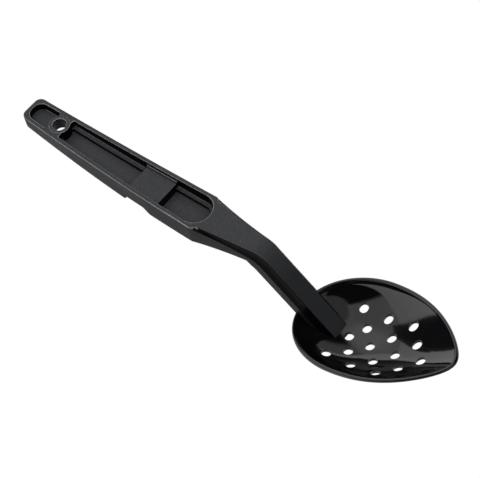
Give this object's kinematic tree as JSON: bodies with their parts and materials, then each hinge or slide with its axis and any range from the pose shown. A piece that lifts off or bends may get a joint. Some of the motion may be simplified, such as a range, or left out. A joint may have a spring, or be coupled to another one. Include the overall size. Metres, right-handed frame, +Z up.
{
  "type": "perforated serving spoon",
  "caption": "Moulded perforated serving spoon: deep pointed bowl with round drain holes, cranked neck, and a channelled handle with a hanging hole and a pan-rim notch.",
  "frame": {"origin": "bottom centre of the bounding box, on the table that the spoon rests on", "axes": "+X along the spoon from the handle end to the tip of the bowl, +Y across it to the left seen from above with the tip ahead, +Z up with the bowl open upwards"},
  "size_m": [0.2794, 0.0616, 0.0527],
  "materials": {
    "handle": "satin, fine moulded texture",
    "bowl": "polished"
  },
  "bodies": {
    "root": {"hang_end": "handle", "hang_eye": "handle", "grip_channel": "handle", "rest_bridge": "handle", "front_pocket": "handle", "neck": "handle", "shank": "handle", "neck_root": "handle", "bowl": "bowl"}
  },
  "joints": []
}
